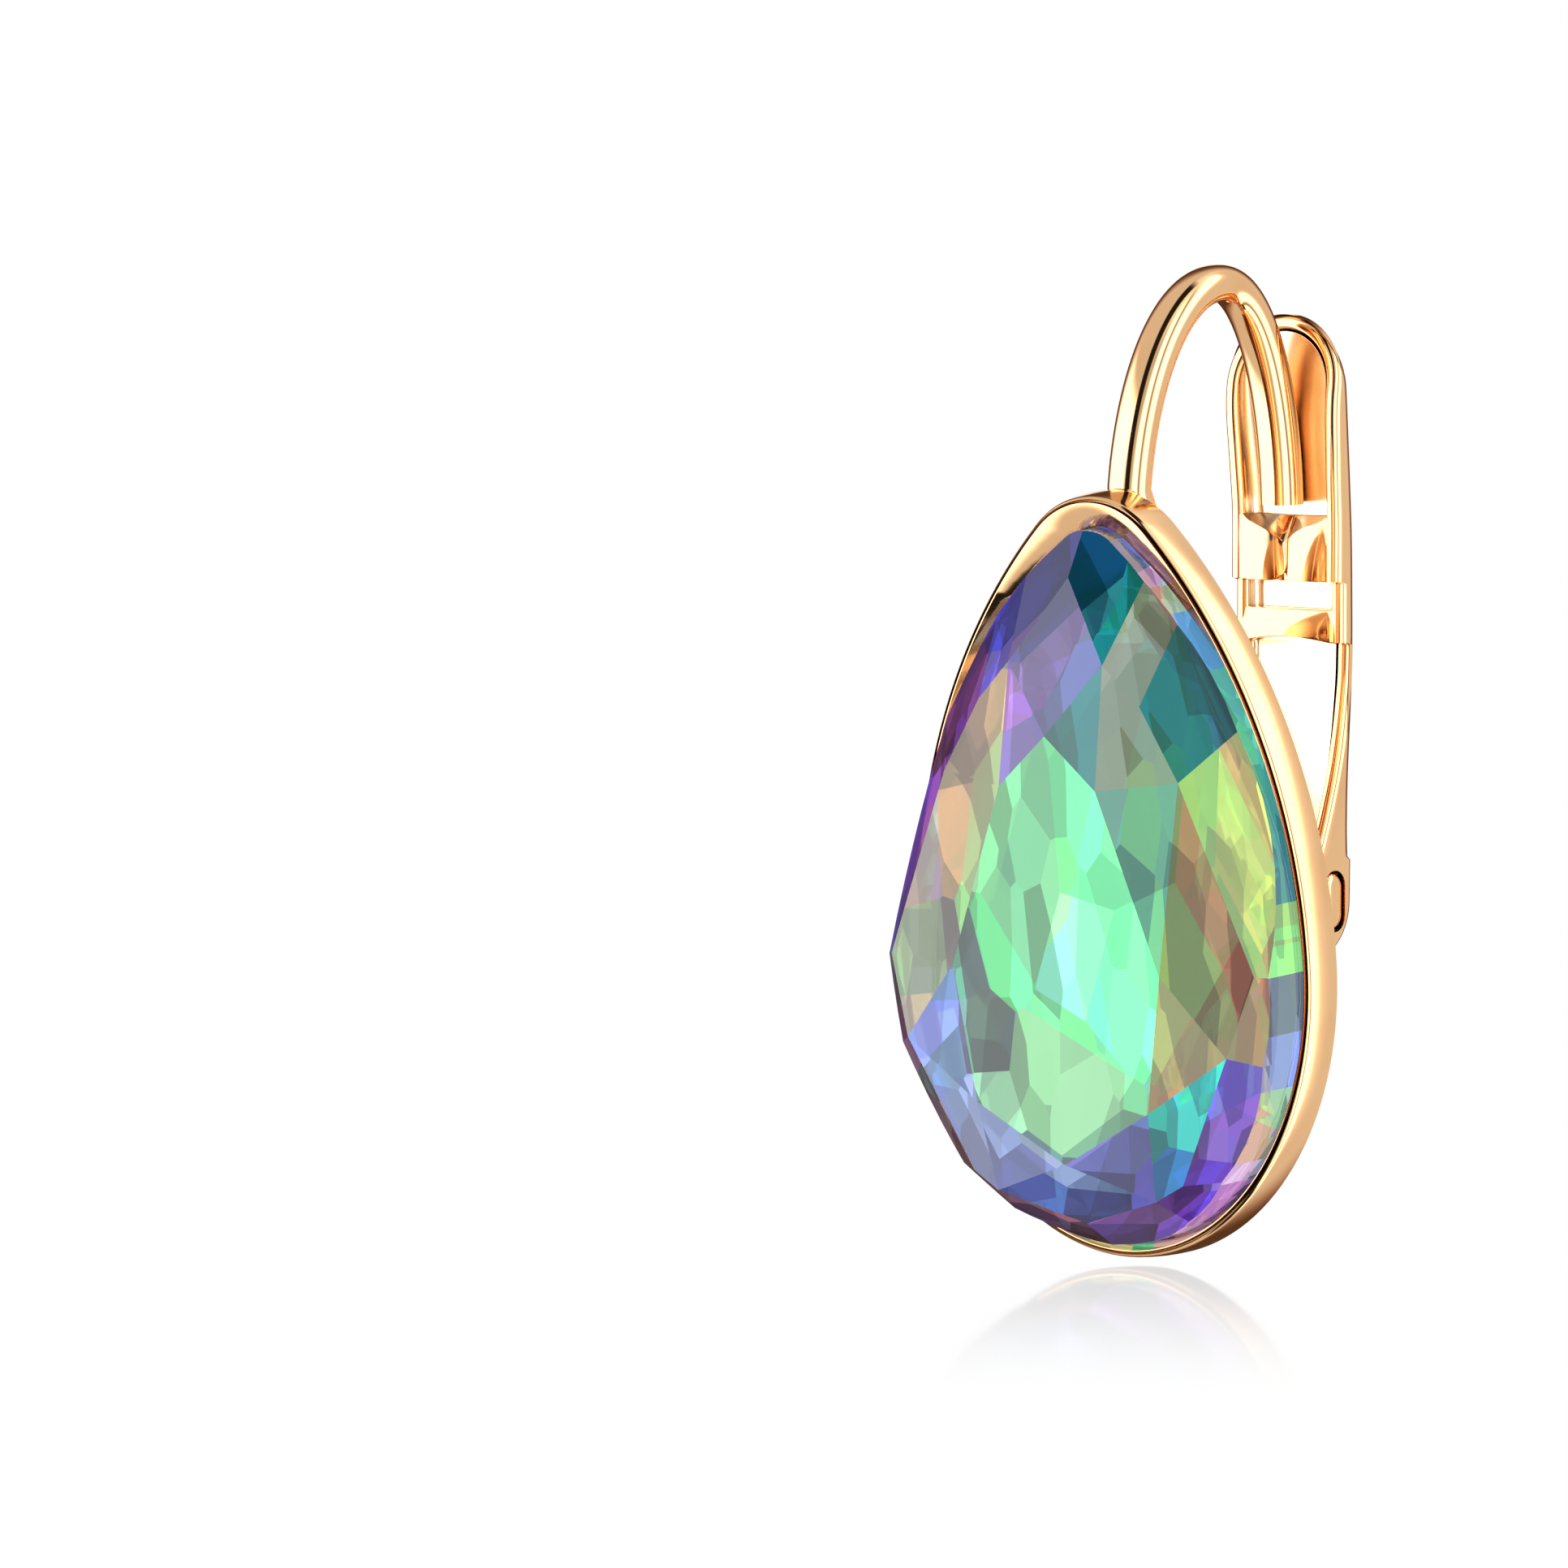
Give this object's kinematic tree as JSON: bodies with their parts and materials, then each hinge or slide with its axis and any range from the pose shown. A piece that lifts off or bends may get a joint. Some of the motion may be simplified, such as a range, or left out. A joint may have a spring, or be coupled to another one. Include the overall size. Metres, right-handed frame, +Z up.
{
  "type": "leverback teardrop earring",
  "caption": "Drop earring: a pear-cut stone in a polished metal cup on an arched ear hook, closed behind by a hinged lever.",
  "frame": {"origin": "inside top of the ear hook's arch, where the ear holds it", "axes": "+Z up; the stone faces -Y and the lever is at +Y; +X to the right seen from the front"},
  "size_m": [0.0136, 0.0109, 0.0263],
  "materials": {
    "rose_gold": "polished rose-gold plating",
    "iridescent_crystal": "faceted crystal with an iridescent foil behind, green in the table and blue, violet and bronze round it"
  },
  "bodies": {
    "setting_body": {"setting_and_ear_hook": "rose_gold", "pear_stone": "iridescent_crystal"},
    "lever_body": {"lever": "rose_gold", "hinge_pin": "rose_gold"}
  },
  "joints": [
    {"name": "lever_hinge", "type": "hinge", "parent": "setting_body", "child": "lever_body", "pos_m": [0, 0.00275, -0.01607], "axis": [-1, 0, 0], "range_deg": [0, 60]}
  ]
}
